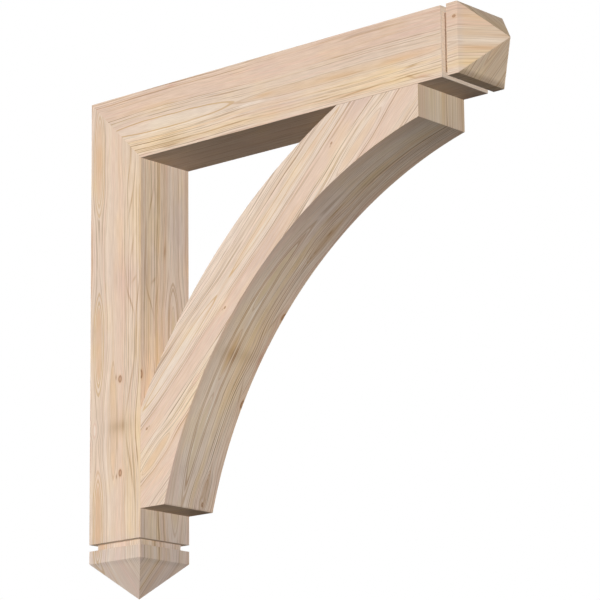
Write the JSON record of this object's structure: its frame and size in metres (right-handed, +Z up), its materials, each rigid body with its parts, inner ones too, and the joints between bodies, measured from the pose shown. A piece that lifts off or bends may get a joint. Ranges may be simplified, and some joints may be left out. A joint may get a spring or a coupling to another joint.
{
  "type": "wooden corbel bracket",
  "caption": "Heavy timber corbel bracket: a mitred wall post and top beam with a curved brace and grooved, pointed tips.",
  "frame": {"origin": "middle of the post's flat back, on the wall and half way across the timber", "axes": "+Y into the wall, so the bracket reaches out along -Y; +Z up; +X across the timber's thickness"},
  "size_m": [0.1396, 1.016, 1.016],
  "materials": {
    "bare_softwood": "planed and bare, not stained or varnished"
  },
  "bodies": {
    "root": {"post": "bare_softwood", "beam": "bare_softwood", "brace": "bare_softwood"}
  },
  "joints": []
}
